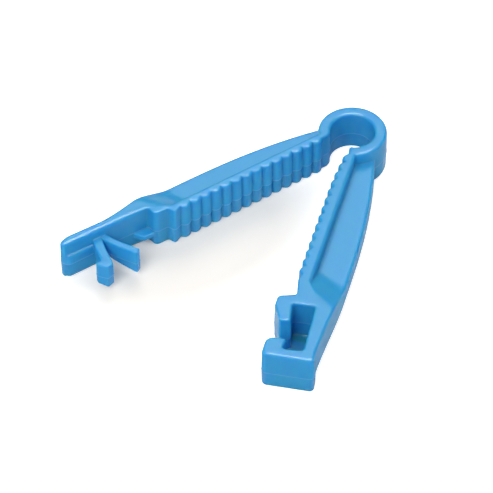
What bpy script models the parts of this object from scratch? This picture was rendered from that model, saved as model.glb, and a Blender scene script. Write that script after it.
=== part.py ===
"""Umbilical cord clamp: one moulding, open in a V and lying on its side.

The spring ring is at +Y and the V opens towards -Y. The prong arm lies at -X and the latch box arm at +X.
The arms' lines meet at the origin. Each arm is drawn in its own plan: u runs along its line towards the arm's
tip, and v runs outwards, away from the jaw. All lengths are in metres.
"""
import math

import bmesh
import bpy
from mathutils import Matrix, Vector

# Whole moulding
HEIGHT = 0.0071
PARTING_HEIGHT = 0.0030
DRAFT = math.radians(0.9)
EDGE_RADIUS = 0.00045
JAW_EDGE_RADIUS = 0.00022
EDGE_STEPS = 2
CORNER_RADIUS = 0.00036
CORNER_STEP = math.radians(28)
HALF_OPENING = math.radians(20.35)

# Spring ring
RING_CENTRE = Vector((0.0003, -0.0001))
RING_RADIUS = 0.0054
RING_WALL = 0.0020
RING_STEPS = 34
BORE_STEPS = 26
PRONG_HEEL_ANGLE = math.radians(30)
BOX_HEEL_ANGLE = math.radians(5)

# Toothed jaws
TOOTH_PITCH = 0.00187
TOOTH_COUNT = 14
TOOTH_DEPTH = 0.00052
TOOTH_STEPS = 6
TOOTH_CREST_SHARE = 0.55
FIRST_TOOTH = 0.0047
BOX_TEETH_SHIFT = 0.0003
PRONG_JAW_CREST = 0.00046
PRONG_JAW_THICKNESS = 0.00182
BOX_JAW_CREST = -0.00038
BOX_JAW_THICKNESS = 0.00238
BOX_JAW_RECESS = 0.00062
BOX_RECESS_LENGTH = 0.0093

# Ribs along the outside of the arms
RIB_THICKNESS = 0.0030
RIB_REACH = 0.0069
FOOT_CLEARANCE = 0.00003
RIB_NARROWING = 0.00195
RIB_NARROWING_POWER = 2.5
RIB_FULL_AT = 0.028
RIB_START = 0.0019
RIB_ACROSS = 4
RIB_STATIONS = 10
RAMP_STATIONS = 12
RAMP_START = 0.0016
RAMP_END = 0.0009
RAMP_SLANT = 0.95

# Tip of the prong arm, with u counted from the last tooth
TIP_LENGTH = 0.0192
TIP_WAIST_REACH = 0.0053
TIP_WALL = 0.00145
TIP_FLARE = 0.0002
TIP_TAPER = 0.00035
TIP_OUTER_ROUNDING = 0.56
TIP_INNER_ROUNDING = 0.33
TIP_START = 0.0044
TIP_WAIST_AT = 0.0121
NOTCH_LENGTH = 0.0025
NOTCH_DEPTH = 0.00125
NOTCH_SKEW = 0.0003
PAD_THICKNESS = 0.00067
PAD_HEIGHT = 0.0047
PAD_START = 0.0055
PAD_END_RADIUS = 0.0010
PAD_END_GAP = 0.00015
PLATE_BOTTOM = 0.0020
PLATE_THICKNESS = 0.0009
PLATE_END = 0.0060

# Prongs, with u counted from the last tooth
PRONG_BOTTOM = 0.00095
PRONG_HEIGHT = 0.00455
PRONG_UNDERSIDE_SLOPE = 0.28
PRONG_REACH = 0.0058
PRONG_STEPS = 6
PRONG_TIP_RADIUS = 0.00036
STRAIGHT_PRONG_AT = 0.0122
STRAIGHT_PRONG_THICKNESS = 0.00118
STRAIGHT_PRONG_LEAN = -0.00275
STRAIGHT_PRONG_BOW = (0.05, 0.5)
HOOK_PRONG_AT = 0.0131
HOOK_PRONG_THICKNESS = 0.0015
HOOK_PRONG_LEAN = 0.0014
HOOK_PRONG_BOW = (0.51, 0.83)
HOOK_WIDTH = 0.0009
HOOK_LENGTH = 0.00175
HOOK_FRONT = 0.0003
HOOK_WIDEST_AT = 0.6

# Latch box, with u counted from the last tooth
BOX_START = 0.00487
BOX_DEPTH = 0.0021
BOX_WAIST_REACH = 0.0062
BOX_FLARE = 0.00022
BOX_SIDE_WALL = 0.0015
BOX_CORNER_RADIUS = 0.0009
BOX_END_RADIUS = 0.0007
BOX_SKEW = 0.0003
POCKET_SKEW = 0.0002
BACK_WALL = 0.00113
FRONT_WALL = 0.0019
POCKET_INNER = 0.0005
POCKET_WIDTH = 0.0035
BACK_BLOCK_FLAT = 0.0020
BACK_BLOCK_CORNER = 0.0006
SHELF_LENGTH = 0.0034
ENTRY_WIDTH = 0.0033
NOSE_LENGTH = 0.0018
NOSE_SIDE = 0.0016
NOSE_DEPTH = 0.00122
NOSE_RADIUS = 0.0013
FLOOR_THICKNESS = 0.00075
SILL_THICKNESS = 0.00035
FLOOR_STEP_AT = 0.0016

PLASTIC_COLOUR = (0.105, 0.402, 0.723, 1.0)
PLASTIC_ROUGHNESS = 0.35

PRONG_ARM = -1
BOX_ARM = 1
BORE_RADIUS = RING_RADIUS - RING_WALL
RIB_BOTTOM = (HEIGHT - RIB_THICKNESS) / 2
RIB_TOP = RIB_BOTTOM + RIB_THICKNESS
PRONG_LAST_TOOTH = FIRST_TOOTH + TOOTH_COUNT * TOOTH_PITCH
BOX_LAST_TOOTH = PRONG_LAST_TOOTH + BOX_TEETH_SHIFT
PRONG_JAW_OUTER = PRONG_JAW_CREST + PRONG_JAW_THICKNESS
BOX_JAW_OUTER = BOX_JAW_CREST + BOX_JAW_THICKNESS
TIP_INNER = TIP_WAIST_REACH - TIP_WALL
TIP_REACH = TIP_WAIST_REACH + TIP_FLARE
BOX_REACH = BOX_WAIST_REACH + BOX_FLARE
POCKET_OUTER = POCKET_INNER + POCKET_WIDTH
BOX_SIDE = POCKET_OUTER + BOX_SIDE_WALL
POCKET_START = BOX_START + BACK_WALL
ENTRY_START = POCKET_START + SHELF_LENGTH
NOSE_START = ENTRY_START + ENTRY_WIDTH
POCKET_END = NOSE_START + NOSE_LENGTH
BOX_END = POCKET_END + FRONT_WALL


def arm_angle(arm):
    """Direction of an arm, towards its tip."""
    return -math.pi / 2 + arm * HALF_OPENING


def arm_axes(arm):
    """Directions of an arm's u and v."""
    along = Vector((math.cos(arm_angle(arm)), math.sin(arm_angle(arm))))
    return along, Vector((-arm * along.y, arm * along.x))


def arm_point(arm, u, v):
    """Plan position of a point on an arm."""
    along, outward = arm_axes(arm)
    return u * along + v * outward


def blend(value, start, end):
    """0 before start, 1 after end, and a smooth curve between them."""
    share = min(max((value - start) / (end - start), 0.0), 1.0)
    return share * share * (3 - 2 * share)


def corner(arm, u, v, radius=0.0, edge=JAW_EDGE_RADIUS):
    """A corner of an outline on an arm: its plan point, its plan radius and the radius of its top and bottom edge."""
    return (arm_point(arm, u, v), radius, edge)


def arc(radius, start, end, steps, edge):
    """Corners on a circle about the ring's centre."""
    corners = []
    for step in range(steps + 1):
        angle = start + (end - start) * step / steps
        corners.append((RING_CENTRE + radius * Vector((math.cos(angle), math.sin(angle))), 0.0, edge))
    return corners


def rounded(corners):
    """Points and edge radii of the closed outline through the corners, each corner drawn to its plan radius."""
    points = []
    for index, (position, radius, edge) in enumerate(corners):
        if radius == 0:
            points.append((position, edge))
            continue
        back = (corners[index - 1][0] - position).normalized()
        ahead = (corners[(index + 1) % len(corners)][0] - position).normalized()
        half = back.angle(ahead) / 2
        centre = position + (back + ahead).normalized() * radius / math.sin(half)
        start = position + back * radius / math.tan(half) - centre
        sweep = math.copysign(math.pi - 2 * half, ahead.cross(back))
        steps = max(2, math.ceil(abs(sweep) / CORNER_STEP))
        for step in range(steps + 1):
            points.append((centre + Matrix.Rotation(sweep * step / steps, 2) @ start, edge))
    return points


def inset(positions, distance):
    """A counter-clockwise outline moved inwards along the mitre of each of its corners."""
    moved = []
    for index, position in enumerate(positions):
        before = (position - positions[index - 1]).normalized()
        after = (positions[(index + 1) % len(positions)] - position).normalized()
        normals = [Vector((-run.y, run.x)) for run in (before, after)]
        moved.append(position + (normals[0] + normals[1]) * distance / (1 + normals[0].dot(normals[1])))
    return moved


def add_object(name, shape, collection):
    """A mesh object made from a closed shape, with its faces outwards."""
    bmesh.ops.recalc_face_normals(shape, faces=shape.faces)
    mesh = bpy.data.meshes.new(name)
    shape.to_mesh(mesh)
    shape.free()
    made = bpy.data.objects.new(name, mesh)
    collection.objects.link(made)
    return made


def moulded(name, corners, bottom, top, collection):
    """An outline extruded both ways from the parting line, with drafted walls and rounded top and bottom edges."""
    points = rounded(corners)
    if sum(a[0].cross(b[0]) for a, b in zip(points, points[1:] + points[:1])) < 0:
        points.reverse()
    positions = [position for position, _ in points]
    parting = min(max(PARTING_HEIGHT, bottom), top)
    levels = sorted({bottom, parting, top})

    shape = bmesh.new()
    number = shape.verts.layers.int.new("number")
    weight = shape.edges.layers.float.new("bevel_weight_edge")
    verts = [shape.verts.new((*position, 0)) for position in positions]
    for index, vert in enumerate(verts):
        vert[number] = index
    base = shape.faces.new(verts)
    face = base
    for height in levels[1:]:
        lower = face
        extruded = bmesh.ops.extrude_face_region(shape, geom=[lower])["geom"]
        face = next(item for item in extruded if isinstance(item, bmesh.types.BMFace))
        place(face, number, positions, height, parting)
        if lower != base:
            bmesh.ops.delete(shape, geom=[lower], context="FACES_ONLY")
    place(base, number, positions, bottom, parting)
    for cap in (base, face):
        for edge in cap.edges:
            radii = [points[vert[number]][1] for vert in edge.verts]
            edge[weight] = min(radii) / EDGE_RADIUS
    made = add_object(name, shape, collection)
    add_edge_rounding(made)
    return made


def place(face, number, positions, height, parting):
    """Puts the corners of a level face at a height, drawn in by the draft."""
    moved = inset(positions, abs(height - parting) * math.tan(DRAFT))
    for vert in face.verts:
        vert.co = (*moved[vert[number]], height)


def add_edge_rounding(made):
    """Rounds the marked edges of an object."""
    rounding = made.modifiers.new("Edge radius", "BEVEL")
    rounding.limit_method = "WEIGHT"
    rounding.offset_type = "OFFSET"
    rounding.width = EDGE_RADIUS
    rounding.segments = EDGE_STEPS
    rounding.use_clamp_overlap = False


def jaw_side(arm, jaw_outer):
    """Angle on the ring's outside, from the arm's direction, where the arm's outer face meets it."""
    return math.asin((jaw_outer - RING_CENTRE.dot(arm_axes(arm)[1])) / RING_RADIUS)


def tooth_row(arm, first):
    """Lobed teeth from the ring towards the tip, as outline corners."""
    corners = []
    for step in range(TOOTH_COUNT * TOOTH_STEPS + 1):
        u = first + TOOTH_PITCH * step / TOOTH_STEPS
        share = (step % TOOTH_STEPS) / TOOTH_STEPS
        side = TOOTH_CREST_SHARE if share < TOOTH_CREST_SHARE else 1 - TOOTH_CREST_SHARE
        fall = (abs(share - TOOTH_CREST_SHARE) / side) ** 2
        corners.append(corner(arm, u, crest(arm, u) + TOOTH_DEPTH * fall))
    return corners


def crest(arm, u):
    """Line of a jaw's tooth crests. The box jaw's crests stand back near the ring."""
    if arm == PRONG_ARM:
        return PRONG_JAW_CREST
    from_full = max(0.0, FIRST_TOOTH + BOX_RECESS_LENGTH - u)
    return BOX_JAW_CREST + BOX_JAW_RECESS * (from_full / BOX_RECESS_LENGTH) ** 2


def prong_arm_end():
    """Outline past the prong jaw's teeth, from the jaw's outer face round the tip to the last tooth."""
    last = PRONG_LAST_TOOTH
    step_v = TIP_INNER - TIP_TAPER
    notch_v = PRONG_JAW_CREST + NOTCH_DEPTH
    end_width = TIP_REACH - TIP_INNER
    return [
        corner(PRONG_ARM, last + RAMP_END, PRONG_JAW_OUTER, 0, EDGE_RADIUS),
        corner(PRONG_ARM, last + TIP_START + RAMP_END, TIP_WAIST_REACH - TIP_TAPER, 0, EDGE_RADIUS),
        corner(PRONG_ARM, last + TIP_WAIST_AT, TIP_WAIST_REACH, 0, EDGE_RADIUS),
        corner(PRONG_ARM, last + TIP_LENGTH, TIP_REACH, end_width * TIP_OUTER_ROUNDING, EDGE_RADIUS),
        corner(PRONG_ARM, last + TIP_LENGTH, TIP_INNER, end_width * TIP_INNER_ROUNDING, EDGE_RADIUS),
        corner(PRONG_ARM, last + TIP_START, step_v, CORNER_RADIUS),
        corner(PRONG_ARM, last + TIP_START - NOTCH_SKEW, notch_v, 2 * CORNER_RADIUS),
        corner(PRONG_ARM, last + TIP_START - NOTCH_LENGTH, notch_v, CORNER_RADIUS),
        corner(PRONG_ARM, last + TIP_START - NOTCH_LENGTH - TOOTH_DEPTH, PRONG_JAW_CREST, CORNER_RADIUS),
    ]


def box_arm_end():
    """Outline past the box jaw's teeth, from the last tooth round the latch box to the jaw's outer face."""
    last = BOX_LAST_TOOTH
    return [
        corner(BOX_ARM, last + TOOTH_PITCH / 2, BOX_JAW_CREST + BOX_SKEW, CORNER_RADIUS),
        corner(BOX_ARM, last + BOX_START - BOX_CORNER_RADIUS, POCKET_INNER, CORNER_RADIUS),
        corner(BOX_ARM, last + BOX_START, -BOX_DEPTH, BOX_CORNER_RADIUS),
        corner(BOX_ARM, last + BOX_START + BACK_BLOCK_FLAT, -BOX_DEPTH, CORNER_RADIUS),
        corner(BOX_ARM, last + ENTRY_START + BOX_SKEW, -BACK_BLOCK_CORNER, CORNER_RADIUS),
        corner(BOX_ARM, last + ENTRY_START, POCKET_INNER + 2 * BOX_SKEW, CORNER_RADIUS),
        corner(BOX_ARM, last + POCKET_START, POCKET_INNER, CORNER_RADIUS),
        corner(BOX_ARM, last + POCKET_START - BOX_SKEW, POCKET_OUTER - POCKET_SKEW, CORNER_RADIUS),
        corner(BOX_ARM, last + ENTRY_START, POCKET_OUTER, 0),
        corner(BOX_ARM, last + POCKET_END - POCKET_SKEW, POCKET_OUTER + POCKET_SKEW, CORNER_RADIUS),
        corner(BOX_ARM, last + POCKET_END + POCKET_SKEW, NOSE_DEPTH, CORNER_RADIUS),
        corner(BOX_ARM, last + NOSE_START, NOSE_DEPTH + POCKET_SKEW, CORNER_RADIUS),
        corner(BOX_ARM, last + NOSE_START + BOX_SKEW, -NOSE_SIDE, NOSE_RADIUS),
        corner(BOX_ARM, last + BOX_END + BOX_SKEW, -NOSE_SIDE, BOX_CORNER_RADIUS, EDGE_RADIUS),
        corner(BOX_ARM, last + BOX_END - BOX_SKEW, BOX_REACH, BOX_END_RADIUS, EDGE_RADIUS),
        corner(BOX_ARM, last + POCKET_END - BOX_SKEW, BOX_WAIST_REACH, 0, EDGE_RADIUS),
        corner(BOX_ARM, last + NOSE_START, BOX_SIDE, 0, EDGE_RADIUS),
        corner(BOX_ARM, last + POCKET_START, BOX_SIDE, 0, EDGE_RADIUS),
        corner(BOX_ARM, last + RAMP_END, BOX_JAW_OUTER, 0, EDGE_RADIUS),
    ]


def frame_corners():
    """Outline of everything that is as tall as the moulding: the ring, both jaws, the tip and the latch box."""
    turn = 2 * math.pi
    outside = arc(RING_RADIUS, arm_angle(BOX_ARM) + jaw_side(BOX_ARM, BOX_JAW_OUTER),
                  arm_angle(PRONG_ARM) - jaw_side(PRONG_ARM, PRONG_JAW_OUTER) + turn, RING_STEPS, EDGE_RADIUS)
    bore = arc(BORE_RADIUS, arm_angle(PRONG_ARM) - PRONG_HEEL_ANGLE + turn, arm_angle(BOX_ARM) + BOX_HEEL_ANGLE,
               BORE_STEPS, JAW_EDGE_RADIUS)
    prong_teeth = tooth_row(PRONG_ARM, FIRST_TOOTH)
    box_teeth = tooth_row(BOX_ARM, FIRST_TOOTH + BOX_TEETH_SHIFT)
    heel = corner(PRONG_ARM, FIRST_TOOTH - TOOTH_PITCH / 2, PRONG_JAW_CREST + TOOTH_DEPTH)
    return outside + prong_arm_end() + prong_teeth[::-1] + [heel] + bore + box_teeth + box_arm_end()


def rib_top(arm, u, v):
    """Height of a rib's top face, which ramps up to the full height past the teeth."""
    last, jaw = (PRONG_LAST_TOOTH, PRONG_JAW_OUTER) if arm == PRONG_ARM else (BOX_LAST_TOOTH, BOX_JAW_OUTER)
    rise = blend(u, last - RAMP_START, last + RAMP_END + RAMP_SLANT * (v - jaw))
    return RIB_TOP + (HEIGHT - FOOT_CLEARANCE - RIB_TOP) * rise


def rib_outer(arm, u):
    """Distance of a rib's outer face."""
    from_full = max(0.0, RIB_FULL_AT - u) / (RIB_FULL_AT - FIRST_TOOTH)
    narrowing = RIB_NARROWING * from_full ** RIB_NARROWING_POWER
    if arm == PRONG_ARM:
        narrowing += (RIB_REACH - TIP_WAIST_REACH) * blend(u, PRONG_LAST_TOOTH, PRONG_LAST_TOOTH + TIP_WAIST_AT)
    else:
        narrowing += (RIB_REACH - BOX_WAIST_REACH) * blend(u, BOX_LAST_TOOTH, BOX_LAST_TOOTH + POCKET_END)
    return RIB_REACH - narrowing


def rib_inner(arm, u):
    """Distance of a rib's inner face, which stays inside the ring, the jaw and the end of the arm."""
    in_ring = math.sqrt(max(0.0, (BORE_RADIUS + RING_WALL / 4) ** 2 - u ** 2))
    if arm == PRONG_ARM:
        jaw = PRONG_JAW_OUTER - PRONG_JAW_THICKNESS / 4
        end = TIP_WAIST_REACH - TIP_WALL * 3 / 4
        start = PRONG_LAST_TOOTH + RAMP_END
        length = TIP_START
    else:
        jaw = BOX_JAW_OUTER - BOX_JAW_THICKNESS / 4
        end = BOX_SIDE - BOX_SIDE_WALL * 2 / 3
        start = BOX_LAST_TOOTH + RAMP_END
        length = POCKET_START - RAMP_END
    share = min(max((u - start) / length, 0.0), 1.0)
    return max(in_ring, jaw + (end - jaw) * share)


def rib_section(arm, u, outer):
    """Closed section across a rib, from the top's inner edge round the outer face to the bottom's inner edge."""
    inner = rib_inner(arm, u)
    spread = outer - EDGE_RADIUS - inner
    flat = [inner + spread * step / RIB_ACROSS for step in range(RIB_ACROSS)]
    top_edge = rib_top(arm, u, outer - EDGE_RADIUS)
    bottom_edge = HEIGHT - top_edge if arm == PRONG_ARM else RIB_BOTTOM
    section = [(v, rib_top(arm, u, v)) for v in flat]
    for centre, start in ((top_edge - EDGE_RADIUS, math.pi / 2), (bottom_edge + EDGE_RADIUS, 0.0)):
        for step in range(EDGE_STEPS + 1):
            angle = start - math.pi / 2 * step / EDGE_STEPS
            height = centre + EDGE_RADIUS * math.sin(angle)
            drawn_in = abs(height - PARTING_HEIGHT) * math.tan(DRAFT)
            section.append((outer - EDGE_RADIUS + EDGE_RADIUS * math.cos(angle) - drawn_in, height))
    for v in reversed(flat):
        section.append((v, HEIGHT - rib_top(arm, u, v) if arm == PRONG_ARM else RIB_BOTTOM))
    return [(*arm_point(arm, u, v), height) for v, height in section]


def add_rib(name, arm, collection):
    """The thinner rib on an arm's outside, lofted from the ring's wall into the tip or the latch box."""
    last = PRONG_LAST_TOOTH if arm == PRONG_ARM else BOX_LAST_TOOTH
    ramp = (last - RAMP_START, last + TIP_START + RAMP_END)
    end = last + (TIP_WAIST_AT if arm == PRONG_ARM else POCKET_END)
    stations = [RIB_START + (ramp[0] - RIB_START) * step / RIB_STATIONS for step in range(RIB_STATIONS)]
    stations += [ramp[0] + (ramp[1] - ramp[0]) * step / RAMP_STATIONS for step in range(RAMP_STATIONS)]
    stations += [ramp[1] + (end - ramp[1]) * step / RIB_STATIONS for step in range(RIB_STATIONS + 1)]
    sections = [rib_section(arm, u, rib_outer(arm, u)) for u in stations]
    sections.append(rib_section(arm, end + FRONT_WALL / 2, rib_outer(arm, end) - EDGE_RADIUS))

    shape = bmesh.new()
    loops = [[shape.verts.new(point) for point in section] for section in sections]
    for lower, upper in zip(loops, loops[1:]):
        for index, vert in enumerate(lower):
            following = (index + 1) % len(lower)
            shape.faces.new((vert, lower[following], upper[following], upper[index]))
    shape.faces.new(loops[0])
    shape.faces.new(loops[-1])
    bmesh.ops.triangulate(shape, faces=shape.faces)
    return add_object(name, shape, collection)


def prong_edges(root_u, lean, bow, thickness):
    """Both side edges of a prong in plan, from its root in the tip to its free end."""
    root_v = TIP_INNER + TIP_WALL / 4
    reach = PRONG_REACH + TIP_WALL / 4
    controls = [Vector((root_u, root_v)),
                Vector((root_u + lean * bow[0], root_v - reach / 3)),
                Vector((root_u + lean * bow[1], root_v - reach * 3 / 5)),
                Vector((root_u + lean, root_v - reach))]
    near_ring, near_tip = [], []
    for step in range(PRONG_STEPS + 1):
        t = step / PRONG_STEPS
        shares = ((1 - t) ** 3, 3 * t * (1 - t) ** 2, 3 * t * t * (1 - t), t ** 3)
        slopes = (-(1 - t) ** 2, (1 - t) ** 2 - 2 * t * (1 - t), 2 * t * (1 - t) - t * t, t * t)
        centre = sum((share * control for share, control in zip(shares, controls)), Vector((0, 0)))
        run = sum((slope * control for slope, control in zip(slopes, controls)), Vector((0, 0))).normalized()
        across = Vector((-run.y, run.x)) * thickness / 2
        near_ring.append(centre - across)
        near_tip.append(centre + across)
    return near_ring, near_tip


def straight_prong():
    """Outline of the prong without a hook."""
    near_ring, near_tip = prong_edges(PRONG_LAST_TOOTH + STRAIGHT_PRONG_AT, STRAIGHT_PRONG_LEAN,
                                      STRAIGHT_PRONG_BOW, STRAIGHT_PRONG_THICKNESS)
    path = near_ring + near_tip[::-1]
    ends = (PRONG_STEPS, PRONG_STEPS + 1)
    return [corner(PRONG_ARM, *point, PRONG_TIP_RADIUS if index in ends else 0)
            for index, point in enumerate(path)]


def hook_prong():
    """Outline of the prong with the hook, which points towards the arm's tip."""
    near_ring, near_tip = prong_edges(PRONG_LAST_TOOTH + HOOK_PRONG_AT, HOOK_PRONG_LEAN,
                                      HOOK_PRONG_BOW, HOOK_PRONG_THICKNESS)
    end = (near_ring[-1] + near_tip[-1]) / 2
    half = HOOK_PRONG_THICKNESS / 2
    shaft = [point for point in near_tip if point.y > end.y + HOOK_LENGTH]
    foot = [
        (-half + HOOK_FRONT / 2, 0.0),
        (half - HOOK_FRONT / 2, -HOOK_FRONT),
        (half + HOOK_WIDTH, HOOK_LENGTH * HOOK_WIDEST_AT),
        (half + HOOK_WIDTH - HOOK_FRONT / 3, HOOK_LENGTH),
        (half - HOOK_FRONT / 2, HOOK_LENGTH - HOOK_FRONT / 2),
    ]
    return ([corner(PRONG_ARM, *point) for point in near_ring[:-1]]
            + [corner(PRONG_ARM, end.x + u, end.y + v, PRONG_TIP_RADIUS) for u, v in foot]
            + [corner(PRONG_ARM, *point) for point in reversed(shaft)])


def add_prong(name, corners, collection):
    """A prong whose underside rises from its free end to its root."""
    prong = moulded(name, corners, PRONG_BOTTOM, PRONG_BOTTOM + PRONG_HEIGHT, collection)
    outward = arm_axes(PRONG_ARM)[1]
    lowest = min(vert.co.z for vert in prong.data.vertices)
    free_end = min(vert.co.xy.dot(outward) for vert in prong.data.vertices)
    for vert in prong.data.vertices:
        if vert.co.z == lowest:
            vert.co.z += PRONG_UNDERSIDE_SLOPE * (vert.co.xy.dot(outward) - free_end)
    return prong


def pad_corners():
    """Outline of the thicker lower part of the tip's inner wall."""
    start = PRONG_LAST_TOOTH + PAD_START
    end = PRONG_LAST_TOOTH + TIP_LENGTH - PAD_END_GAP
    inner = TIP_INNER - PAD_THICKNESS
    buried = TIP_INNER + TIP_WALL / 2
    return [corner(PRONG_ARM, start, inner - TIP_TAPER / 2, CORNER_RADIUS),
            corner(PRONG_ARM, end, inner, PAD_END_RADIUS),
            corner(PRONG_ARM, end, buried), corner(PRONG_ARM, start, buried)]


def plate_corners():
    """Outline of the thin guide plate between the last tooth and the tip."""
    last = PRONG_LAST_TOOTH
    notch_v = PRONG_JAW_CREST + NOTCH_DEPTH
    return [corner(PRONG_ARM, last + TIP_START - NOTCH_LENGTH, notch_v + JAW_EDGE_RADIUS, 0, 0),
            corner(PRONG_ARM, last + PLATE_END, notch_v + JAW_EDGE_RADIUS, CORNER_RADIUS, 0),
            corner(PRONG_ARM, last + PLATE_END + NOTCH_DEPTH, TIP_INNER, 0, 0),
            corner(PRONG_ARM, last + TIP_START, TIP_INNER, 0, 0),
            corner(PRONG_ARM, last + RAMP_END + RAMP_START, notch_v + PRONG_JAW_THICKNESS / 3, 0, 0)]


def floor_corners(start, end, inner):
    """Outline of one level of the latch box's floor, from start to end along the arm and out into its side wall."""
    last = BOX_LAST_TOOTH
    outer = POCKET_OUTER + BOX_SIDE_WALL / 2
    return [corner(BOX_ARM, last + start, inner, 0, 0), corner(BOX_ARM, last + end, inner, 0, 0),
            corner(BOX_ARM, last + end, outer, 0, 0), corner(BOX_ARM, last + start, outer, 0, 0)]


def plastic():
    """Light blue moulded plastic."""
    material = bpy.data.materials.new("Blue moulded plastic")
    material.use_nodes = True
    surface = material.node_tree.nodes["Principled BSDF"]
    surface.inputs["Base Color"].default_value = PLASTIC_COLOUR
    surface.inputs["Roughness"].default_value = PLASTIC_ROUGHNESS
    return material


def centre_on_base(body, pieces):
    """Moves everything so that the middle of the finished moulding's base is at the origin."""
    evaluated = body.evaluated_get(bpy.context.evaluated_depsgraph_get())
    corners = [Vector(point) for point in evaluated.bound_box]
    low = Vector([min(point[axis] for point in corners) for axis in range(3)])
    high = Vector([max(point[axis] for point in corners) for axis in range(3)])
    shift = Matrix.Translation(-Vector(((low.x + high.x) / 2, (low.y + high.y) / 2, low.z)))
    for made in [body] + pieces:
        made.data.transform(shift)


def main():
    """Builds the clamp."""
    for old in list(bpy.data.objects):
        bpy.data.objects.remove(old, do_unlink=True)
    finished = bpy.data.collections.new("Umbilical cord clamp")
    joined = bpy.data.collections.new("Joined solids")
    for collection in (finished, joined):
        bpy.context.scene.collection.children.link(collection)

    body = moulded("cord_clamp", frame_corners(), 0.0, HEIGHT, finished)
    step_at = POCKET_START + FLOOR_STEP_AT
    floor = floor_corners(step_at, POCKET_END + FRONT_WALL / 3, -NOSE_SIDE + BOX_SKEW)
    sill = floor_corners(POCKET_START - BACK_WALL / 2, step_at + FLOOR_STEP_AT / 2, POCKET_INNER - BOX_SKEW)
    pieces = [
        add_rib("Prong arm rib", PRONG_ARM, joined),
        add_rib("Box arm rib", BOX_ARM, joined),
        moulded("Tip pad", pad_corners(), FOOT_CLEARANCE, PAD_HEIGHT, joined),
        moulded("Guide plate", plate_corners(), PLATE_BOTTOM, PLATE_BOTTOM + PLATE_THICKNESS, joined),
        add_prong("Straight prong", straight_prong(), joined),
        add_prong("Hook prong", hook_prong(), joined),
        moulded("Box floor", floor, FOOT_CLEARANCE, FLOOR_THICKNESS, joined),
        moulded("Box sill", sill, 2 * FOOT_CLEARANCE, SILL_THICKNESS, joined),
    ]
    for piece in pieces:
        piece.hide_render = True
        piece.display_type = "WIRE"
        join = body.modifiers.new(piece.name, "BOOLEAN")
        join.operation = "UNION"
        join.solver = "EXACT"
        join.object = piece
    body.data.materials.append(plastic())
    centre_on_base(body, pieces)


main()
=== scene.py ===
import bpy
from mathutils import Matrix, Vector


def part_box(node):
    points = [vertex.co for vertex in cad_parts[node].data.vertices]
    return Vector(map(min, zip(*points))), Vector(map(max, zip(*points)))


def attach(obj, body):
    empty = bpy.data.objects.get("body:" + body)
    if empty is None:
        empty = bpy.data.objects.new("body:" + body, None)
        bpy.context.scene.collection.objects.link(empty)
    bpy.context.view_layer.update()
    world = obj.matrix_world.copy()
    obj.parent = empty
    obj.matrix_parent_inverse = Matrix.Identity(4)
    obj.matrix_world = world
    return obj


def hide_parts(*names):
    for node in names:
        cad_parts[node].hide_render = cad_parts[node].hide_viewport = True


bl_info = {
    "name": "Umbilical cord clamp",
    "version": (1, 0, 0),
    "blender": (4, 5, 0),
    "location": "3D View > Sidebar > Cord clamp",
    "description": "Builds a one-piece moulded umbilical cord clamp and a small white studio around it",
    "category": "Object",
}

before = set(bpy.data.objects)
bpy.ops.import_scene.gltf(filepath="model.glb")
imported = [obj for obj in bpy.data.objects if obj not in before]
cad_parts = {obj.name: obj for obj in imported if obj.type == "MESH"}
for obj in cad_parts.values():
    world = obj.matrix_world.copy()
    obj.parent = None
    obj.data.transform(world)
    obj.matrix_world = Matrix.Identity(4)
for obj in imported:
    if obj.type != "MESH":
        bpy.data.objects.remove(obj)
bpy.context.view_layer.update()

import math

import bmesh
import bpy
from mathutils import Matrix, Vector

PRONG_ARM = -1
BOX_ARM = 1

# Rounding that the shading gives every junction, in metres
SOFT_JUNCTION = 0.0003

# How far light runs into the plastic, and red, green and blue light's shares of that
BLEED_REACH = 0.0028
BLEED_SHARES = (0.1, 0.45, 1.0)

# Width of the mould's grain, and how far the roughness goes up and down with it
GRAIN_WIDTH = 0.0011
GRAIN_SWING = 0.04

# Fineness of the visual model
EDGE_STEPS = 4
CORNER_STEP = math.radians(9)
RING_STEPS = 96
BORE_STEPS = 72
TOOTH_STEPS = 14
RIB_ACROSS = 14
RIB_STATIONS = 26
RAMP_STATIONS = 40
PRONG_STEPS = 18

# Faces and edges all round, in metres like every length here
DRAFT = math.tan(math.radians(0.9))
BEAD_HALF_HEIGHT = 0.00007
CORNER_RADIUS = 0.00042
SKEW = 0.0003
CLEARANCE = 0.00003

# Ring and jaws, with u counted from where both arms' lines meet
RING_CENTRE = Vector((0.0003, -0.0001))
HEEL_ANGLE = {PRONG_ARM: math.radians(30), BOX_ARM: math.radians(5)}
TOOTH_COUNT = 14
CREST_SHARE = 0.55
FIRST_TOOTH = 0.0047
BOX_TEETH_SHIFT = 0.0003
PRONG_CREST = 0.00046
PRONG_JAW = 0.00182
BOX_CREST = -0.00038
BOX_JAW = 0.00238
BOX_RECESS = 0.00062
BOX_RECESS_LENGTH = 0.0093

# Outer ribs, and their ramps with u counted from the last tooth
RIB_START = 0.0019
RIB_NARROWING = 0.00195
RIB_NARROWING_POWER = 2.5
RIB_FULL_AT = 0.028
RAMP_START = 0.0034
RAMP_LAG = 0.45
RAMP_END = 0.0009
RAMP_TOP = 0.0026
RAMP_SLANT = 0.80

# Prong arm's tip, with u counted from the last tooth
TIP_LENGTH = 0.0192
TIP_WAIST = 0.0053
TIP_WAIST_AT = 0.0121
TIP_WALL = 0.00145
TIP_INNER = 0.00385
TIP_REACH = 0.0055
TIP_TAPER = 0.00035
TIP_END_RADII = (0.0015, 0.0010, 0.00054)
TIP_START = 0.0044
NOTCH_LENGTH = 0.0025
NOTCH_DEPTH = 0.00125
PAD = 0.0005
PAD_HEIGHT = 0.0047
PAD_START = 0.0110
PAD_END_RADIUS = 0.0010
PAD_END_GAP = 0.00015
PLATE_BOTTOM = 0.0020
PLATE_TOP = 0.0029
PLATE_END = 0.0060

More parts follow.
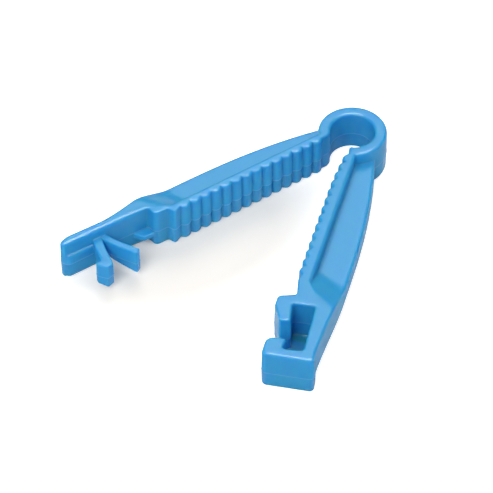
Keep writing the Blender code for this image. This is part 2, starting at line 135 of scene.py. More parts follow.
# Prongs, which reach from the tip's inner wall into the V
PRONG_BOTTOM = 0.00095
PRONG_TOP = 0.0055
PRONG_UNDERSIDE_SLOPE = 0.28
PRONG_REACH = 0.0058
PRONG_TIP = 0.00036
STRAIGHT_PRONG = {"at": 0.0122, "thickness": 0.00118, "lean": -0.00275, "bow": (0.05, 0.5)}
HOOK_PRONG = {"at": 0.0131, "thickness": 0.0015, "lean": 0.0014, "bow": (0.51, 0.83)}
HOOK_WIDTH = 0.0009
HOOK_LENGTH = 0.00175
HOOK_FRONT = 0.0003
HOOK_WIDEST_AT = 0.6

# Latch box, with u counted from the last tooth
BOX_START = 0.00487
BOX_DEPTH = 0.0021
BOX_WAIST = 0.0062
BOX_REACH = 0.00642
BOX_SIDE = 0.0055
BOX_CORNER = 0.0009
BOX_END_RADIUS = 0.0007
POCKET_SKEW = 0.0002
POCKET_START = 0.0060
POCKET_INNER = 0.0005
POCKET_OUTER = 0.0040
BACK_BLOCK_FLAT = 0.0020
BACK_BLOCK_CORNER = 0.0006
ENTRY_START = 0.0094
NOSE_START = 0.0127
NOSE_SIDE = 0.0016
NOSE_DEPTH = 0.00122
NOSE_RADIUS = 0.0013
POCKET_END = 0.0145
BOX_END = 0.0164
FLOOR_TOP = 0.00075
SILL_TOP = 0.00035
FLOOR_STEP_AT = 0.0016

# The photo's camera, aimed at a point on the floor in the V
AIM = Vector((-0.00262, -0.00414, 0.0))
CAMERA_PLACE = (-54.15, 47.5, 0.458)
CAMERA_LENS = 219.07

# Lamps by azimuth and elevation in degrees and distance, then the lamp's width, and how bright it makes white
SOFTBOXES = {
    # Mirrored by the flat tops, which gives them their pale sheen
    "Key softbox": ((125, 52, 0.50), 0.30, 0.44),
    # Lights the end faces of the tip and the latch box
    "Front softbox": ((-82, 48, 0.40), 0.22, 0.64),
    # Lights the walls on the right and the teeth's right flanks
    "Side softbox": ((30, 42, 0.45), 0.25, 0.22),
}
# Seen in the gloss alone, where it draws bright lines along the rounded top edges
GLINT = ((60, 84, 0.45), 0.34, 4.2)
WORLD_LIGHT = 0.2

# The oval of floor where the painted glow is weakest and the shadow stays, how near its middle it is full,
# and the painted glow's multiple outside it
SHADOW_MIDDLE = (-0.0085, -0.0085, 0.0)
SHADOW_TURN = math.radians(69.65)
SHADOW_REACH = (0.030, 0.016, 1.0)
SHADOW_FULL = 0.58
WASHED_OUT = 5


def length(name, description, default):
    """A size that a user can change."""
    return bpy.props.FloatProperty(name=name, description=description, default=default, min=0.0, precision=5,
                                   unit="LENGTH")


def linear(code):
    """Linear red, green and blue of an sRGB hex colour."""
    shares = [int(code[start:start + 2], 16) / 255 for start in (1, 3, 5)]
    return tuple(share / 12.92 if share <= 0.04045 else ((share + 0.055) / 1.055) ** 2.4 for share in shares)


def tint(name, description, code):
    """A colour that a user can change, given as an sRGB hex value."""
    return bpy.props.FloatVectorProperty(name=name, description=description, default=linear(code), size=3,
                                         min=0.0, max=1.0, subtype="COLOR")


def factor(name, description, default):
    """A share from 0 to 1 that a user can change."""
    return bpy.props.FloatProperty(name=name, description=description, default=default, min=0.0, max=1.0,
                                   subtype="FACTOR")


class ClampSizes(bpy.types.PropertyGroup):
    """Sizes of the moulding."""

    height: length("Height", "Height of the moulding as it lies", 0.0071)
    parting: length("Parting height", "Height of the line where the mould halves met", 0.0030)
    bead: length("Parting bead", "How far the parting line stands proud of the walls", 0.00003)
    edge: length("Outer edge radius", "Rounding of the outside's top and bottom edges", 0.00045)
    jaw_edge: length("Inner edge radius", "Rounding of the edges along the notch and of the prongs", 0.00024)
    pocket_edge: length("Pocket edge radius", "Rounding of the edges along the latch box's pocket", 0.00034)
    tooth_edge: length("Tooth edge radius", "Rounding of the edges along teeth and bore", 0.00044)
    tip_edge: length("Tip edge radius", "Rounding of the tip's inner edge and of its pad", 0.0006)
    half_opening: bpy.props.FloatProperty(
        name="Half opening", description="Half of the angle between the arms", default=math.radians(20.35),
        min=0.0, subtype="ANGLE")
    ring_radius: length("Ring radius", "Outer radius of the spring ring", 0.0054)
    ring_wall: length("Ring wall", "Wall of the spring ring", 0.0020)
    tooth_pitch: length("Tooth pitch", "Distance from tooth to tooth", 0.00187)
    tooth_depth: length("Tooth depth", "Depth of the notches between the teeth", 0.00052)
    rib_thickness: length("Rib thickness", "Height of the thinner rib outside each jaw", 0.0030)
    rib_reach: length("Rib reach", "Distance of the rib's outer face from the arm's line", 0.0069)


class ClampLook(bpy.types.PropertyGroup):
    """Colours of the plastic and the studio."""

    plastic: tint("Plastic", "Colour of the moulded plastic", "#339dd2")
    # Painted highlight: the parting line is painted paler, standing in for the light that its real bead
    # catches
    parting_highlight: tint("Parting line", "Colour of the line left by the mould", "#86c6f0")
    parting_highlight_share: factor("Parting line strength", "How much the line shows", 0.3)
    bleed: factor("Bleed", "How much light passes into the plastic", 0.85)
    roughness: factor("Roughness", "Roughness of the plastic's surface", 0.24)
    floor: tint("Floor", "Colour of the studio floor", "#e7e7e7")
    floor_seen: tint("Floor as seen", "Colour under the glow, warm against the clamp's blue light", "#e7e2db")
    # A painted glow on the floor, which the camera alone sees
    floor_glow: factor("Floor glow", "White added to the floor as it is seen", 0.15)
    light: bpy.props.FloatProperty(name="Light", description="Strength of all the studio's lights together",
                                   default=1.0, min=0.0, subtype="FACTOR")


def blend(value, start, end):
    """0 before start, 1 after end, and a smooth curve between them."""
    share = min(max((value - start) / (end - start), 0.0), 1.0)
    return share * share * (3 - 2 * share)


def rounded(corners):
    """Points and edge radii of the closed outline through the corners, each drawn to its plan radius."""
    points = []
    for index, (position, radius, edge) in enumerate(corners):
        if radius == 0:
            points.append((position, edge))
            continue
        back = (corners[index - 1][0] - position).normalized()
        ahead = (corners[(index + 1) % len(corners)][0] - position).normalized()
        half = back.angle(ahead) / 2
        centre = position + (back + ahead).normalized() * radius / math.sin(half)
        start = position + back * radius / math.tan(half) - centre
        sweep = math.copysign(math.pi - 2 * half, ahead.cross(back))
        steps = max(3, math.ceil(abs(sweep) / CORNER_STEP))
        for step in range(steps + 1):
            points.append((centre + Matrix.Rotation(sweep * step / steps, 2) @ start, edge))
    return points


def inset(positions, distances):
    """A counter-clockwise outline moved inwards along its mitres, each corner by its own distance."""
    moved = []
    for index, position in enumerate(positions):
        before = (position - positions[index - 1]).normalized()
        after = (positions[(index + 1) % len(positions)] - position).normalized()
        normals = [Vector((-run.y, run.x)) for run in (before, after)]
        share = distances[index] / (1 + normals[0].dot(normals[1]))
        moved.append(position + (normals[0] + normals[1]) * share)
    return moved


def skin(name, loops):
    """A closed mesh object through equal loops of points."""
    shape = bmesh.new()
    rings = [[shape.verts.new(point) for point in loop] for loop in loops]
    for lower, upper in zip(rings, rings[1:]):
        for index, vert in enumerate(lower):
            following = (index + 1) % len(lower)
            shape.faces.new((vert, lower[following], upper[following], upper[index]))
    shape.faces.new(rings[0][::-1])
    shape.faces.new(rings[-1])
    bmesh.ops.recalc_face_normals(shape, faces=shape.faces)
    bmesh.ops.triangulate(shape, faces=shape.faces)
    mesh = bpy.data.meshes.new(name)
    shape.to_mesh(mesh)
    shape.free()
    made = bpy.data.objects.new(name, mesh)
    bpy.context.scene.collection.objects.link(made)
    return made


class Moulding:
    """Draws the moulding's parts. Along each arm u runs from where the arms' lines meet, and v outwards."""

    def __init__(self, sizes):
        self.sizes = sizes
        self.bore = sizes.ring_radius - sizes.ring_wall
        self.rib_bottom = (sizes.height - sizes.rib_thickness) / 2
        self.rib_top = self.rib_bottom + sizes.rib_thickness
        prong_last = FIRST_TOOTH + TOOTH_COUNT * sizes.tooth_pitch
        self.last = {PRONG_ARM: prong_last, BOX_ARM: prong_last + BOX_TEETH_SHIFT}
        self.jaw_outer = {PRONG_ARM: PRONG_CREST + PRONG_JAW, BOX_ARM: BOX_CREST + BOX_JAW}

    def angle(self, arm):
        """Direction of an arm, towards its tip."""
        return -math.pi / 2 + arm * self.sizes.half_opening

    def axes(self, arm):
        """Directions of an arm's u and v."""
        along = Vector((math.cos(self.angle(arm)), math.sin(self.angle(arm))))
        return along, Vector((-arm * along.y, arm * along.x))

    def point(self, arm, u, v):
        """Plan position of a point on an arm."""
        along, outward = self.axes(arm)
        return u * along + v * outward

    def corners(self, arm, start, listed):
        """Outline corners from (u past start, v, plan radius, edge radius) entries."""
        return [(self.point(arm, start + u, v), radius, edge) for u, v, radius, edge in listed]

    def arc(self, radius, start, end, steps, edge):
        """Corners on a circle about the ring's centre."""
        angles = [start + (end - start) * step / steps for step in range(steps + 1)]
        spokes = [Vector((math.cos(angle), math.sin(angle))) for angle in angles]
        return [(RING_CENTRE + radius * spoke, 0, edge) for spoke in spokes]

    def moulded(self, name, corners, bottom, top):
        """An outline drafted both ways from the parting line, with a bead there and rounded edges."""
        points = rounded(corners)
        if sum(a[0].cross(b[0]) for a, b in zip(points, points[1:] + points[:1])) < 0:
            points.reverse()
        positions = [position for position, _ in points]
        radii = [edge for _, edge in points]
        sizes = self.sizes
        parting = min(max(sizes.parting, bottom), top)
        edge_steps = EDGE_STEPS if any(radii) else 0
        turns = [math.pi / 2 * step / EDGE_STEPS for step in range(EDGE_STEPS - edge_steps, EDGE_STEPS + 1)]
        rise = [(1 - math.sin(turn), 1 - math.cos(turn)) for turn in turns]
        loops = []
        for across, up in rise:
            loops.append(([bottom + up * radius for radius in radii], [across * radius for radius in radii]))
        if bottom < sizes.parting < top:
            for height, stand in ((-BEAD_HALF_HEIGHT, 0), (0, sizes.bead), (BEAD_HALF_HEIGHT, 0)):
                loops.append(([parting + height] * len(radii), [-stand] * len(radii)))
        for across, up in reversed(rise):
            loops.append(([top - up * radius for radius in radii], [across * radius for radius in radii]))
        placed = []
        for heights, distances in loops:
            drafts = [DRAFT * abs(height - parting) for height in heights]
            drawn_in = [distance + draft for distance, draft in zip(distances, drafts)]
            placed.append([(*point, height) for point, height in zip(inset(positions, drawn_in), heights)])
        return skin(name, placed)

    def tooth_row(self, arm):
        """Lobed teeth from the ring towards the tip."""
        sizes = self.sizes
        first = self.last[arm] - TOOTH_COUNT * sizes.tooth_pitch
        corners = []
        for step in range(TOOTH_COUNT * TOOTH_STEPS + 1):
            u = first + sizes.tooth_pitch * step / TOOTH_STEPS
            share = (step % TOOTH_STEPS) / TOOTH_STEPS
            side = CREST_SHARE if share < CREST_SHARE else 1 - CREST_SHARE
            fall = (abs(share - CREST_SHARE) / side) ** 2
            crest = PRONG_CREST
            if arm == BOX_ARM:
                from_full = max(0.0, FIRST_TOOTH + BOX_RECESS_LENGTH - u) / BOX_RECESS_LENGTH
                crest = BOX_CREST + BOX_RECESS * from_full ** 2
            corners.append((self.point(arm, u, crest + sizes.tooth_depth * fall), 0, sizes.tooth_edge))
        return corners

    def prong_arm_end(self):
        """Outline past the prong jaw's teeth, from the jaw's outer face round the tip to the last tooth."""
        outer, inner = self.sizes.edge, self.sizes.jaw_edge
        end_width = TIP_REACH - TIP_INNER
        notch_v = PRONG_CREST + NOTCH_DEPTH
        notch = TIP_START - NOTCH_LENGTH
        return self.corners(PRONG_ARM, self.last[PRONG_ARM], [
            (RAMP_END, self.jaw_outer[PRONG_ARM], 0, outer),
            (TIP_START + RAMP_END, TIP_WAIST - TIP_TAPER, 0, outer),
            (TIP_WAIST_AT, TIP_WAIST, 0, outer),
            (TIP_LENGTH - end_width, TIP_REACH, TIP_END_RADII[0], outer),
            (TIP_LENGTH - end_width * 0.3, TIP_REACH - end_width * 0.19, TIP_END_RADII[1], outer),
            (TIP_LENGTH, TIP_REACH - end_width * 0.44, TIP_END_RADII[2], outer * 0.9),
            (TIP_LENGTH, TIP_INNER, TIP_END_RADII[2], outer * 0.9),
            (TIP_LENGTH - end_width, TIP_INNER, 0, self.sizes.tip_edge),
            (TIP_START + NOTCH_LENGTH, TIP_INNER - TIP_TAPER, 0, self.sizes.tip_edge),
            (TIP_START, TIP_INNER - TIP_TAPER, CORNER_RADIUS, inner),
            (TIP_START - SKEW, notch_v, 2 * CORNER_RADIUS, inner),
            (notch, notch_v, CORNER_RADIUS, inner),
            (notch - self.sizes.tooth_depth, PRONG_CREST, CORNER_RADIUS, inner),
        ])

    def box_arm_end(self):
        """Outline past the box jaw's teeth, from its last tooth round the latch box to its outer face."""
        outer, inner = self.sizes.edge, self.sizes.pocket_edge
        return self.corners(BOX_ARM, self.last[BOX_ARM], [
            (self.sizes.tooth_pitch / 2, BOX_CREST + SKEW, CORNER_RADIUS, inner),
            (BOX_START - BOX_CORNER, POCKET_INNER, CORNER_RADIUS, inner),
            (BOX_START, -BOX_DEPTH, BOX_CORNER, inner),
            (BOX_START + BACK_BLOCK_FLAT, -BOX_DEPTH, CORNER_RADIUS, inner),
            (ENTRY_START + SKEW, -BACK_BLOCK_CORNER, CORNER_RADIUS, inner),
            (ENTRY_START, POCKET_INNER + 2 * SKEW, CORNER_RADIUS, inner),
            (POCKET_START, POCKET_INNER, CORNER_RADIUS, inner),
            (POCKET_START - SKEW, POCKET_OUTER - POCKET_SKEW, CORNER_RADIUS, inner),
            (ENTRY_START, POCKET_OUTER, 0, inner),
            (POCKET_END - POCKET_SKEW, POCKET_OUTER + POCKET_SKEW, CORNER_RADIUS, inner),
            (POCKET_END + POCKET_SKEW, NOSE_DEPTH, CORNER_RADIUS, inner),
            (NOSE_START, NOSE_DEPTH + POCKET_SKEW, CORNER_RADIUS, inner),
            (NOSE_START + SKEW, -NOSE_SIDE, NOSE_RADIUS, inner),
            (BOX_END + SKEW, -NOSE_SIDE, BOX_CORNER, outer),
            (BOX_END - SKEW, BOX_REACH, BOX_END_RADIUS, outer),
            (POCKET_END - SKEW, BOX_WAIST, 0, outer),
            (NOSE_START, BOX_SIDE, 0, outer),
            (POCKET_START, BOX_SIDE, 0, outer),
            (RAMP_END, self.jaw_outer[BOX_ARM], 0, outer),
        ])

    def jaw_side(self, arm):
        """Angle on the ring's outside, from the arm's direction, where the jaw's outer face meets it."""
        return math.asin((self.jaw_outer[arm] - RING_CENTRE.dot(self.axes(arm)[1])) / self.sizes.ring_radius)

    def body(self):
        """Everything that is as tall as the moulding: the ring, both jaws, the tip and the latch box."""
        sizes = self.sizes
        turn = 2 * math.pi
        outside = self.arc(sizes.ring_radius, self.angle(BOX_ARM) + self.jaw_side(BOX_ARM),
                           self.angle(PRONG_ARM) - self.jaw_side(PRONG_ARM) + turn, RING_STEPS, sizes.edge)
        bore = self.arc(self.bore, self.angle(PRONG_ARM) - HEEL_ANGLE[PRONG_ARM] + turn,
                        self.angle(BOX_ARM) + HEEL_ANGLE[BOX_ARM], BORE_STEPS, sizes.tooth_edge)
        heel = (self.point(PRONG_ARM, FIRST_TOOTH - sizes.tooth_pitch / 2, PRONG_CREST + sizes.tooth_depth),
                0, sizes.pocket_edge)
        ends = [(bore[end][0], CORNER_RADIUS, sizes.pocket_edge) for end in (0, -1)]
        bore = ends[:1] + bore[3:-3] + ends[1:]
        corners = (outside + self.prong_arm_end() + self.tooth_row(PRONG_ARM)[::-1] + [heel] + bore
                   + self.tooth_row(BOX_ARM) + self.box_arm_end())
        return self.moulded("Clamp body", corners, 0.0, sizes.height)

    def rib_height(self, arm, u, v):
        """Height of a rib's top face, which ramps up to the full height past the teeth."""
        last, off_jaw = self.last[arm], v - self.jaw_outer[arm]
        rise = blend(u, last - RAMP_START + RAMP_LAG * off_jaw, last + RAMP_TOP + RAMP_SLANT * off_jaw)
        return self.rib_top + (self.sizes.height - CLEARANCE - self.rib_top) * rise

    def rib_outer(self, arm, u):
        """Distance of a rib's outer face."""
        reach = self.sizes.rib_reach
        from_full = max(0.0, RIB_FULL_AT - u) / (RIB_FULL_AT - FIRST_TOOTH)
        narrowing = RIB_NARROWING * from_full ** RIB_NARROWING_POWER
        last = self.last[arm]
        if arm == PRONG_ARM:
            narrowing += (reach - TIP_WAIST) * blend(u, last, last + TIP_WAIST_AT)
        else:
            narrowing += (reach - BOX_WAIST) * blend(u, last, last + POCKET_END)
        return reach - narrowing

    def rib_inner(self, arm, u):
        """Distance of a rib's inner face, which stays inside the ring, the jaw and the end of the arm."""
        in_ring = math.sqrt(max(0.0, (self.bore + self.sizes.ring_wall / 4) ** 2 - u ** 2))
        if arm == PRONG_ARM:
            jaw, end, run = self.jaw_outer[arm] - PRONG_JAW / 4, TIP_WAIST - TIP_WALL * 3 / 4, TIP_START
        else:
            jaw, end = self.jaw_outer[arm] - BOX_JAW / 4, (BOX_SIDE + 2 * POCKET_OUTER) / 3
            run = POCKET_START - RAMP_END
        share = min(max((u - self.last[arm] - RAMP_END) / run, 0.0), 1.0)
        return max(in_ring, jaw + (end - jaw) * share)

    def rib_section(self, arm, u, outer):
        """Closed section across a rib, round its outer face."""
        edge = self.sizes.edge
        height = self.sizes.height
        inner = self.rib_inner(arm, u)
        top_edge = self.rib_height(arm, u, outer - edge)
        brim = outer - edge - (height - self.sizes.parting) * DRAFT
        flat = [inner + (brim - inner) * step / RIB_ACROSS for step in range(RIB_ACROSS)]
        bottom_edge = height - top_edge if arm == PRONG_ARM else self.rib_bottom
        section = [(v, self.rib_height(arm, u, v)) for v in flat]
        for centre, start in ((top_edge - edge, math.pi / 2), (bottom_edge + edge, 0.0)):
            for step in range(EDGE_STEPS + 1):
                angle = start - math.pi / 2 * step / EDGE_STEPS
                z = centre + edge * math.sin(angle)
                drafted = outer - edge + edge * math.cos(angle) - abs(z - self.sizes.parting) * DRAFT
                section.append((drafted, z))
            if start > 0:
                for lift, stand in ((BEAD_HALF_HEIGHT, 0), (0, self.sizes.bead), (-BEAD_HALF_HEIGHT, 0)):
                    section.append((outer + stand, self.sizes.parting + lift))
        for v in reversed(flat):
            section.append((v, height - self.rib_height(arm, u, v) if arm == PRONG_ARM else self.rib_bottom))
        return [(*self.point(arm, u, v), z) for v, z in section]

    def rib(self, name, arm):
        """The thinner rib on an arm's outside, from the ring's wall into the tip or the latch box."""
        last = self.last[arm]
        ramp = (last - RAMP_START, last + TIP_START + RAMP_END)
        end = last + (TIP_WAIST_AT if arm == PRONG_ARM else POCKET_END)
        stations = [RIB_START + (ramp[0] - RIB_START) * step / RIB_STATIONS for step in range(RIB_STATIONS)]
        stations += [ramp[0] + (ramp[1] - ramp[0]) * step / RAMP_STATIONS for step in range(RAMP_STATIONS)]
        stations += [ramp[1] + (end - ramp[1]) * step / RIB_STATIONS for step in range(RIB_STATIONS + 1)]
        sections = [self.rib_section(arm, u, self.rib_outer(arm, u)) for u in stations]
        buried = end + (BOX_END - POCKET_END) / 2
        sections.append(self.rib_section(arm, buried, self.rib_outer(arm, end) - self.sizes.edge))
        return skin(name, sections)

    def prong_edges(self, at, thickness, lean, bow):
        """Both side edges of a prong in plan, from its root in the tip to its free end."""
        root = Vector((self.last[PRONG_ARM] + at, TIP_INNER + TIP_WALL / 4))
        reach = PRONG_REACH + TIP_WALL / 4
        offsets = [(0, 0), (lean * bow[0], -reach / 3), (lean * bow[1], -reach * 0.6), (lean, -reach)]
        controls = [root + Vector(offset) for offset in offsets]
        near_ring, near_tip = [], []
        for step in range(PRONG_STEPS + 1):
            t = step / PRONG_STEPS
            shares = ((1 - t) ** 3, 3 * t * (1 - t) ** 2, 3 * t * t * (1 - t), t ** 3)
            slopes = (-(1 - t) ** 2, (1 - t) ** 2 - 2 * t * (1 - t), 2 * t * (1 - t) - t * t, t * t)
            centre = sum((share * control for share, control in zip(shares, controls)), Vector((0, 0)))
            run = sum((slope * control for slope, control in zip(slopes, controls)), Vector((0, 0)))
            run.normalize()
            across = Vector((-run.y, run.x)) * thickness / 2
            near_ring.append(centre - across)
            near_tip.append(centre + across)
        return near_ring, near_tip

    def prong(self, name, path):
        """A prong through plan points with their radii. Its underside rises from its free end to its root."""
        edge = self.sizes.jaw_edge
        corners = [(self.point(PRONG_ARM, *point), radius, edge) for point, radius in path]
        prong = self.moulded(name, corners, PRONG_BOTTOM, PRONG_TOP)
        outward = self.axes(PRONG_ARM)[1]
        free_end = min(vert.co.xy.dot(outward) for vert in prong.data.vertices)
        for vert in prong.data.vertices:
            if vert.co.z < PRONG_BOTTOM + edge * 1.01:
                vert.co.z += PRONG_UNDERSIDE_SLOPE * min(vert.co.xy.dot(outward) - free_end, PRONG_REACH)
        return prong

    def straight_prong(self):
        """The prong without a hook."""
        near_ring, near_tip = self.prong_edges(**STRAIGHT_PRONG)
        ends = [(near_ring[-1], PRONG_TIP), (near_tip[-1], PRONG_TIP)]
        path = [(point, 0) for point in near_ring[:-2]] + ends + [(point, 0) for point in near_tip[-3::-1]]
        return self.prong("Straight prong", path)

    def hook_prong(self):
        """The prong whose hook points towards the arm's tip."""
        near_ring, near_tip = self.prong_edges(**HOOK_PRONG)
        end = (near_ring[-1] + near_tip[-1]) / 2
        half = HOOK_PRONG["thickness"] / 2
        widest = half + HOOK_WIDTH
        foot = [(HOOK_FRONT / 2 - half, 0), (half - HOOK_FRONT / 2, -HOOK_FRONT),
                (widest, HOOK_LENGTH * HOOK_WIDEST_AT), (widest - HOOK_FRONT / 3, HOOK_LENGTH),
                (half - HOOK_FRONT / 2, HOOK_LENGTH - HOOK_FRONT / 2)]
        path = [(point, 0) for point in near_ring[:-2]]
        path += [(end + Vector(offset), PRONG_TIP) for offset in foot]
        path += [(point, 0) for point in reversed(near_tip) if point.y > end.y + HOOK_LENGTH * 1.1]
        return self.prong("Hook prong", path)

    def small_parts(self):
        """The tip's pad, the guide plate and both levels of the latch box's floor."""
        edge = self.sizes.tip_edge
        inner = TIP_INNER - PAD
        buried = TIP_INNER + TIP_WALL / 2
        notch_v = PRONG_CREST + NOTCH_DEPTH
        pad = self.corners(PRONG_ARM, self.last[PRONG_ARM], [
            (PAD_START, inner, edge * 1.2, edge),
            (TIP_LENGTH - PAD_END_GAP, inner, PAD_END_RADIUS, edge),
            (TIP_LENGTH - PAD_END_GAP, buried, 0, 0), (PAD_START, buried, 0, 0)])
        plate = self.corners(PRONG_ARM, self.last[PRONG_ARM], [
            (TIP_START - NOTCH_LENGTH, notch_v + SKEW, 0, 0), (PLATE_END, notch_v + SKEW, CORNER_RADIUS, 0),
            (PLATE_END + NOTCH_DEPTH, TIP_INNER, 0, 0), (TIP_START, TIP_INNER, 0, 0),
            (TIP_START - NOTCH_LENGTH + SKEW, notch_v + PRONG_JAW / 3, 0, 0)])
        step_at = POCKET_START + FLOOR_STEP_AT
        ground = self.floor(step_at, (2 * POCKET_END + BOX_END) / 3, SKEW - NOSE_SIDE)
        sill = self.floor((BOX_START + POCKET_START) / 2, step_at + FLOOR_STEP_AT / 2, POCKET_INNER - SKEW)
        return [self.moulded("Tip pad", pad, CLEARANCE, PAD_HEIGHT),
                self.moulded("Guide plate", plate, PLATE_BOTTOM, PLATE_TOP),
                self.moulded("Box floor", ground, CLEARANCE, FLOOR_TOP),
                self.moulded("Box sill", sill, 2 * CLEARANCE, SILL_TOP)]

    def floor(self, start, end, inner):
        """Outline of one level of the latch box's floor, out into the box's side wall."""
        outer = (POCKET_OUTER + BOX_SIDE) / 2
        return self.corners(BOX_ARM, self.last[BOX_ARM], [(start, inner, 0, 0), (end, inner, 0, 0),
                                                          (end, outer, 0, 0), (start, outer, 0, 0)])


def enabled_input(node, name):
    """The input of that name which the node's settings leave in use."""
    return next(socket for socket in node.inputs if socket.name == name and socket.enabled)


def add_node(tree, kind, settings=None, **links):
    """A shader node with its settings, input values and links. Inputs that share a name go by their place."""
    node = tree.nodes.new(kind)
    for name, value in (settings or {}).items():
        setattr(node, name, value)
    for name, value in links.items():
        places = {"first": 0, "second": 1, "third": 2}
        socket = node.inputs[places[name]] if name in places else enabled_input(node, name.replace("_", " "))
        if isinstance(value, bpy.types.NodeSocket):
            tree.links.new(value, socket)
        else:
            socket.default_value = value
    return node


def plastic_material(look, sizes):
    """Injection-moulded polypropylene: satin, with light that bleeds into it, so its hollows stay blue."""
    material = bpy.data.materials.new("Moulded blue polypropylene")
    material.use_nodes = True
    tree = material.node_tree
    tree.nodes.clear()
    place = add_node(tree, "ShaderNodeTexCoord")
    # The mould halves met in a fine line round the walls. It is painted a little paler than they are, a
    # painted highlight for the light that the line's bead catches.
    height = add_node(tree, "ShaderNodeSeparateXYZ", Vector=place.outputs["Object"])
    above = add_node(tree, "ShaderNodeMath", {"operation": "SUBTRACT"}, first=height.outputs["Z"],
                     second=sizes.parting)
    off_line = add_node(tree, "ShaderNodeMath", {"operation": "ABSOLUTE"}, first=above.outputs["Value"])
    # Painted highlight along the parting line, full on the line and none off it
    line = add_node(tree, "ShaderNodeMapRange", Value=off_line.outputs["Value"],
                    From_Min=BEAD_HALF_HEIGHT * 0.5, From_Max=BEAD_HALF_HEIGHT * 1.3,
                    To_Min=look.parting_highlight_share, To_Max=0.0)
    colour = add_node(tree, "ShaderNodeMix", {"data_type": "RGBA"}, Factor=line.outputs["Result"],
                      A=(*look.plastic, 1.0), B=(*look.parting_highlight, 1.0))
    # Grain of the mould's satin steel, drawn coarse enough to show, in the gloss alone.
    grain = add_node(tree, "ShaderNodeTexNoise", Vector=place.outputs["Object"], Scale=1 / GRAIN_WIDTH,
                     Detail=3.0)
    gloss = add_node(tree, "ShaderNodeMapRange", Value=grain.outputs["Fac"],
                     To_Min=look.roughness - GRAIN_SWING, To_Max=look.roughness + GRAIN_SWING)
    # Molten plastic doesn't fill the mould's corners sharply, so every junction is soft.
    soft = add_node(tree, "ShaderNodeBevel", {"samples": 6}, Radius=SOFT_JUNCTION)
    # Blue light runs furthest into the plastic. The satin mould leaves it less gloss than a polished one.
    surface = add_node(tree, "ShaderNodeBsdfPrincipled", Base_Color=colour.outputs[2],
                       Roughness=gloss.outputs["Result"], IOR=1.49, Normal=soft.outputs["Normal"],
                       Specular_IOR_Level=0.22, Subsurface_Weight=look.bleed, Subsurface_Radius=BLEED_SHARES,
                       Subsurface_Scale=BLEED_REACH)
    output = add_node(tree, "ShaderNodeOutputMaterial")
    tree.links.new(surface.outputs["BSDF"], output.inputs["Surface"])
    return material


def floor_material(look):
    """Matt white paper under a painted glow: the camera sees it white, with a soft shadow that is deepest in
    the V.
    """
    material = bpy.data.materials.new("Matt white paper")
    material.use_nodes = True
    tree = material.node_tree
    tree.nodes.clear()
    path = add_node(tree, "ShaderNodeLightPath")
    paper = add_node(tree, "ShaderNodeBsdfDiffuse", Color=(*look.floor, 1.0))
    # Warm under the glow, which evens out the blue that the clamp throws on its own shadow.
    white = add_node(tree, "ShaderNodeBsdfDiffuse", Color=(*look.floor_seen, 1.0))
    # A painted glow, weakest beside the prong arm's jaw, keeps the shadow there and washes it out further
    # away from it.
    place = add_node(tree, "ShaderNodeTexCoord")
    jaw = add_node(tree, "ShaderNodeMapping", {"vector_type": "TEXTURE"}, Vector=place.outputs["Object"],
                   Location=SHADOW_MIDDLE, Rotation=(0.0, 0.0, SHADOW_TURN), Scale=SHADOW_REACH)
    near = add_node(tree, "ShaderNodeTexGradient", {"gradient_type": "SPHERICAL"},
                    Vector=jaw.outputs["Vector"])
    strength = add_node(tree, "ShaderNodeMapRange", {"interpolation_type": "SMOOTHSTEP"},
                        Value=near.outputs["Fac"], From_Min=0.0, From_Max=SHADOW_FULL,
                        To_Min=look.floor_glow * WASHED_OUT, To_Max=look.floor_glow)
    glow = add_node(tree, "ShaderNodeEmission", Color=(1.0, 1.0, 1.0, 1.0),
                    Strength=strength.outputs["Result"])
    lifted = add_node(tree, "ShaderNodeAddShader", first=white.outputs["BSDF"],
                      second=glow.outputs["Emission"])
    # The clamp has neither metal nor glass, so camera rays alone see the white.
    seen = add_node(tree, "ShaderNodeMixShader", first=path.outputs["Is Camera Ray"],
                    second=paper.outputs["BSDF"], third=lifted.outputs["Shader"])
    output = add_node(tree, "ShaderNodeOutputMaterial")
    tree.links.new(seen.outputs["Shader"], output.inputs["Surface"])
    return material


class CLAMP_OT_add_moulding(bpy.types.Operator):
    """Builds the whole clamp as one moulding."""

    bl_idname = "clamp.add_moulding"
    bl_label = "Clamp moulding"

    def execute(self, context):
        drawn = Moulding(context.scene.clamp_sizes)
        body = drawn.body()
        joined = [drawn.rib("Prong arm rib", PRONG_ARM), drawn.rib("Box arm rib", BOX_ARM),
                  drawn.straight_prong(), drawn.hook_prong(), *drawn.small_parts()]
        for piece in joined:
            join = body.modifiers.new(piece.name, "BOOLEAN")
            join.operation = "UNION"
            join.solver = "EXACT"
            join.object = piece
        graph = context.evaluated_depsgraph_get()
        mesh = bpy.data.meshes.new_from_object(body.evaluated_get(graph))
        for piece in joined + [body]:
            bpy.data.objects.remove(piece, do_unlink=True)
        mesh.transform(Matrix.Translation(self.shift(mesh)))
        mesh.shade_smooth()
        mesh.set_sharp_from_angle(angle=math.radians(38))
        clamp = bpy.data.objects.new("umbilical_cord_clamp", mesh)
        context.scene.collection.objects.link(clamp)
        flat = clamp.modifiers.new("Weighted normals", "WEIGHTED_NORMAL")
        flat.keep_sharp = True
        flat.weight = 90
        mesh.materials.clear()
        mesh.materials.append(plastic_material(context.scene.clamp_look, context.scene.clamp_sizes))
        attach(clamp, "root")
        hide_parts("cord_clamp")
        return {"FINISHED"}

    def shift(self, mesh):
        """The move that puts the middle of the mesh's base on the middle of the frame's base."""
        if not mesh.vertices:
            raise RuntimeError("the moulding came out empty")
        low = Vector([min(vert.co[axis] for vert in mesh.vertices) for axis in range(3)])
        high = Vector([max(vert.co[axis] for vert in mesh.vertices) for axis in range(3)])
        cad_low, cad_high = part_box("cord_clamp")
        if any(drawn < 0.9 * real for drawn, real in zip(high - low, cad_high - cad_low)):
            raise RuntimeError("the moulding's parts didn't join")
        move = (cad_low + cad_high - low - high) / 2
        move.z = cad_low.z - low.z
        return move


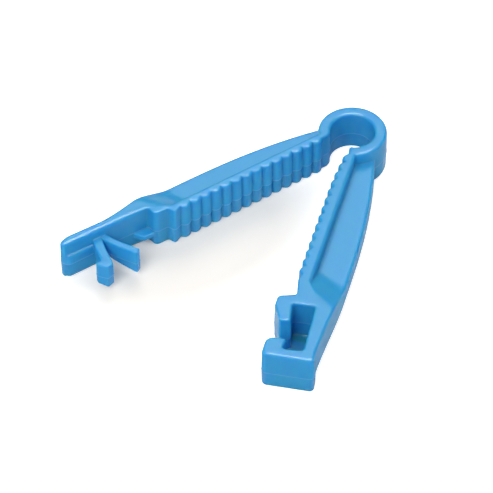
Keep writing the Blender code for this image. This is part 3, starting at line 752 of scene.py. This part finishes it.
class CLAMP_OT_add_stage(bpy.types.Operator):
    """Adds the white floor, the soft lights and the camera."""

    bl_idname = "clamp.add_stage"
    bl_label = "White studio"

    def execute(self, context):
        look = context.scene.clamp_look
        self.floor(look)
        world = bpy.data.worlds.new("Studio")
        context.scene.world = world
        world.use_nodes = True
        world.node_tree.nodes["Background"].inputs["Color"].default_value = (1.0, 1.0, 1.0, 1.0)
        world.node_tree.nodes["Background"].inputs["Strength"].default_value = WORLD_LIGHT * look.light
        for name, (place, width, share) in SOFTBOXES.items():
            self.lamp(name, place, width, share * look.light)
        place, width, share = GLINT
        glint = self.lamp("Overhead glint", place, width, share * look.light)
        glint.visible_diffuse = False
        context.scene.camera = self.camera()
        context.scene.view_settings.view_transform = "Standard"
        return {"FINISHED"}

    def camera(self):
        """The camera at the photo's angle."""
        camera = bpy.data.cameras.new("Camera")
        camera.lens = CAMERA_LENS
        camera.sensor_width = 36.0
        camera.clip_start = 0.01
        camera.clip_end = 10.0
        return self.aimed("Camera", camera, CAMERA_PLACE)

    def floor(self, look):
        """A wide pale floor that takes the shadows."""
        shape = bmesh.new()
        bmesh.ops.create_grid(shape, x_segments=1, y_segments=1, size=1.5)
        mesh = bpy.data.meshes.new("Studio floor")
        shape.to_mesh(mesh)
        shape.free()
        ground = bpy.data.objects.new("Studio floor", mesh)
        bpy.context.scene.collection.objects.link(ground)
        mesh.materials.append(floor_material(look))

    def lamp(self, name, place, width, share):
        """A square soft lamp. Its share is how bright it makes a white surface that faces it at the aim."""
        lamp = bpy.data.lights.new(name, "AREA")
        lamp.size = width
        lamp.energy = share * math.pi ** 2 * place[2] ** 2
        return self.aimed(name, lamp, place)

    def aimed(self, name, data, place):
        """The lamp or camera's object, at an azimuth, elevation and distance from the aim and facing it."""
        azimuth, elevation = (math.radians(turn) for turn in place[:2])
        away = Vector((math.cos(azimuth) * math.cos(elevation), math.sin(azimuth) * math.cos(elevation),
                       math.sin(elevation)))
        made = bpy.data.objects.new(name, data)
        bpy.context.scene.collection.objects.link(made)
        made.location = AIM + away * place[2]
        made.rotation_euler = (-away).to_track_quat("-Z", "Y").to_euler()
        return made


class CLAMP_PT_panel(bpy.types.Panel):
    """Lists the clamp's steps, sizes and colours."""

    bl_idname = "CLAMP_PT_panel"
    bl_label = "Cord clamp"
    bl_space_type = "VIEW_3D"
    bl_region_type = "UI"
    bl_category = "Cord clamp"

    def draw(self, context):
        for step in (CLAMP_OT_add_moulding, CLAMP_OT_add_stage):
            self.layout.operator(step.bl_idname)
        for group in (context.scene.clamp_sizes, context.scene.clamp_look):
            for name in group.__annotations__:
                self.layout.prop(group, name)


CLASSES = (ClampSizes, ClampLook, CLAMP_OT_add_moulding, CLAMP_OT_add_stage, CLAMP_PT_panel)


def register():
    """Registers the add-on's classes and its two groups of settings."""
    for cls in CLASSES:
        bpy.utils.register_class(cls)
    bpy.types.Scene.clamp_sizes = bpy.props.PointerProperty(type=ClampSizes)
    bpy.types.Scene.clamp_look = bpy.props.PointerProperty(type=ClampLook)


def unregister():
    """Takes back what register did."""
    del bpy.types.Scene.clamp_look
    del bpy.types.Scene.clamp_sizes
    for cls in reversed(CLASSES):
        bpy.utils.unregister_class(cls)


def main():
    """Builds the clamp and its studio."""
    register()
    bpy.ops.clamp.add_moulding()
    bpy.ops.clamp.add_stage()


if __name__ == "__main__":
    main()
